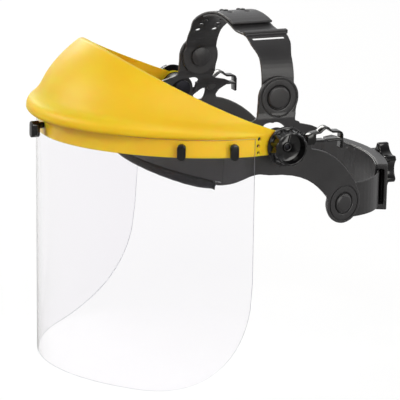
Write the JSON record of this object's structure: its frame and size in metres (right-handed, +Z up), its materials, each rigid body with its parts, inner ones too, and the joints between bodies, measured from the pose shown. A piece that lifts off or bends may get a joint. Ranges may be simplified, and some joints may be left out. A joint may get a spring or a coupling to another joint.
{
  "type": "face_shield",
  "caption": "Browguard face shield: yellow brow shell with a clear bent visor on turn buttons, fluted tilt knobs, and a black headgear with crown strap and ratchet nape strap.",
  "frame": {"origin": "middle of the line through the two tilt pivots, at the wearer's temples", "axes": "+X to the wearer's left, -Y to the front, +Z up"},
  "size_m": [0.2528, 0.3101, 0.2732],
  "materials": {
    "browguard_plastic": "moulded yellow polypropylene, satin",
    "visor_sheet": "clear polycarbonate sheet, polished, faint grey tint",
    "knob_plastic": "black moulded nylon, glossy",
    "headgear_plastic": "black moulded polyethylene, fine grain",
    "pad_fabric": "dark grey knitted cloth over foam",
    "steel": "plain zinc-coated steel",
    "black_steel": "steel with a black oxide coat",
    "nylon": "dark grey nylon"
  },
  "bodies": {
    "headband": {"brow_band": "headgear_plastic", "side_frame_left": "headgear_plastic", "side_frame_right": "headgear_plastic", "brow_pad": "pad_fabric", "strap_clip_left": "headgear_plastic", "strap_clip_right": "headgear_plastic", "pivot_bolt_left": "black_steel", "pivot_bolt_right": "black_steel", "pivot_washer_left": "knob_plastic", "pivot_washer_right": "knob_plastic", "crown_rivet_left": "headgear_plastic", "crown_rivet_right": "headgear_plastic", "nape_rivet_left": "headgear_plastic", "nape_rivet_right": "headgear_plastic"},
    "shield": {"browguard": "browguard_plastic", "visor": "visor_sheet"},
    "knob_left": {"pivot_knob_left": "knob_plastic"},
    "knob_right": {"pivot_knob_right": "knob_plastic"},
    "crown": {"crown_strap_left": "headgear_plastic", "crown_strap_right": "headgear_plastic"},
    "nape": {"nape_strap_left": "headgear_plastic", "nape_strap_right": "headgear_plastic", "ratchet_housing": "headgear_plastic", "ratchet_cover": "headgear_plastic", "ratchet_spring": "steel"},
    "ratchet": {"ratchet_knob": "knob_plastic", "ratchet_pinion": "nylon", "ratchet_screw": "steel"},
    "button_centre": {"turn_button_centre": "knob_plastic"},
    "button_left_front": {"turn_button_left_front": "knob_plastic"},
    "button_left_rear": {"turn_button_left_rear": "knob_plastic"},
    "button_right_front": {"turn_button_right_front": "knob_plastic"},
    "button_right_rear": {"turn_button_right_rear": "knob_plastic"}
  },
  "joints": [
    {"name": "tilt", "type": "hinge", "parent": "headband", "child": "shield", "pos_m": [0, 0, 0], "axis": [-1, 0, 0], "range_deg": [0, 90]},
    {"name": "knob_left_turn", "type": "hinge", "parent": "headband", "child": "knob_left", "pos_m": [0.12, 0, 0], "axis": [1, 0, 0], "continuous": true},
    {"name": "knob_right_turn", "type": "hinge", "parent": "headband", "child": "knob_right", "pos_m": [-0.12, 0, 0], "axis": [-1, 0, 0], "continuous": true},
    {"name": "crown_swing", "type": "hinge", "parent": "headband", "child": "crown", "pos_m": [0, 0.0084, 0.03], "axis": [1, 0, 0], "range_deg": [-15, 15]},
    {"name": "nape_swing", "type": "hinge", "parent": "headband", "child": "nape", "pos_m": [0, 0.0636, -0.0569], "axis": [1, 0, 0], "range_deg": [-7, 7]},
    {"name": "ratchet_turn", "type": "hinge", "parent": "nape", "child": "ratchet", "pos_m": [0, 0.14, -0.053], "axis": [0, 1, 0], "continuous": true},
    {"name": "button_centre_turn", "type": "hinge", "parent": "shield", "child": "button_centre", "pos_m": [0, -0.156, 0.0016], "axis": [0, -1, 0], "range_deg": [0, 90]},
    {"name": "button_left_front_turn", "type": "hinge", "parent": "shield", "child": "button_left_front", "pos_m": [0.10315, -0.08122, 0.0016], "axis": [0.8982, -0.4396, 0], "range_deg": [0, 90]},
    {"name": "button_left_rear_turn", "type": "hinge", "parent": "shield", "child": "button_left_rear", "pos_m": [0.11519, -0.04335, 0.0016], "axis": [0.9888, -0.1493, 0], "range_deg": [0, 90]},
    {"name": "button_right_front_turn", "type": "hinge", "parent": "shield", "child": "button_right_front", "pos_m": [-0.10315, -0.08122, 0.0016], "axis": [-0.8982, -0.4396, 0], "range_deg": [0, 90]},
    {"name": "button_right_rear_turn", "type": "hinge", "parent": "shield", "child": "button_right_rear", "pos_m": [-0.11519, -0.04335, 0.0016], "axis": [-0.9888, -0.1493, 0], "range_deg": [0, 90]}
  ]
}
